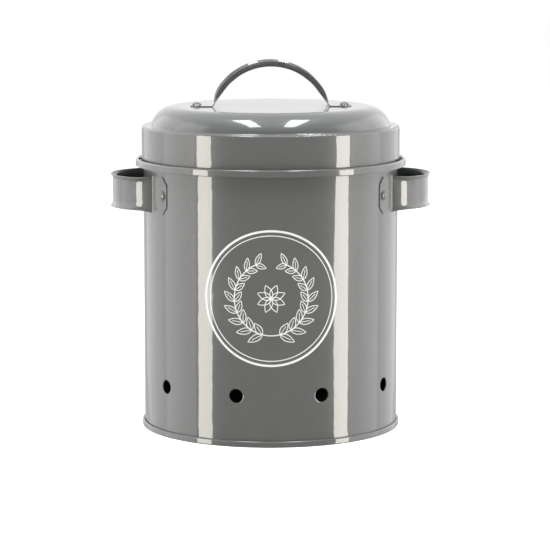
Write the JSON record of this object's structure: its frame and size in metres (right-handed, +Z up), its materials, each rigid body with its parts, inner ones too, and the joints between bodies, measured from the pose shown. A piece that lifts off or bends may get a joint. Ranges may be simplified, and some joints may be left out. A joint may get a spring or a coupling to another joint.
{
  "type": "onion storage bin",
  "caption": "Round sheet-steel vegetable keeper with a lift-off domed lid, strap handles on the lid and both sides, and a ring of vent holes low in the wall.",
  "frame": {"origin": "centre of the foot ring, on the surface the bin stands on", "axes": "+Z up, -Y towards the front with the printed badge, +X towards the right side handle"},
  "size_m": [0.2142, 0.1804, 0.2449],
  "materials": {
    "grey_enamel": "gloss"
  },
  "bodies": {
    "bin": {"body_wall": "grey_enamel", "base_pan": "grey_enamel", "left_side_handle": "grey_enamel", "right_side_handle": "grey_enamel", "left_handle_rivets": "grey_enamel", "right_handle_rivets": "grey_enamel"},
    "lid": {"lid_shell": "grey_enamel", "lid_handle": "grey_enamel", "lid_handle_rivets": "grey_enamel"}
  },
  "joints": [
    {"name": "lid_lift", "type": "slide", "parent": "bin", "child": "lid", "axis": [0, 0, 1], "range_m": [0, 0.15]}
  ]
}
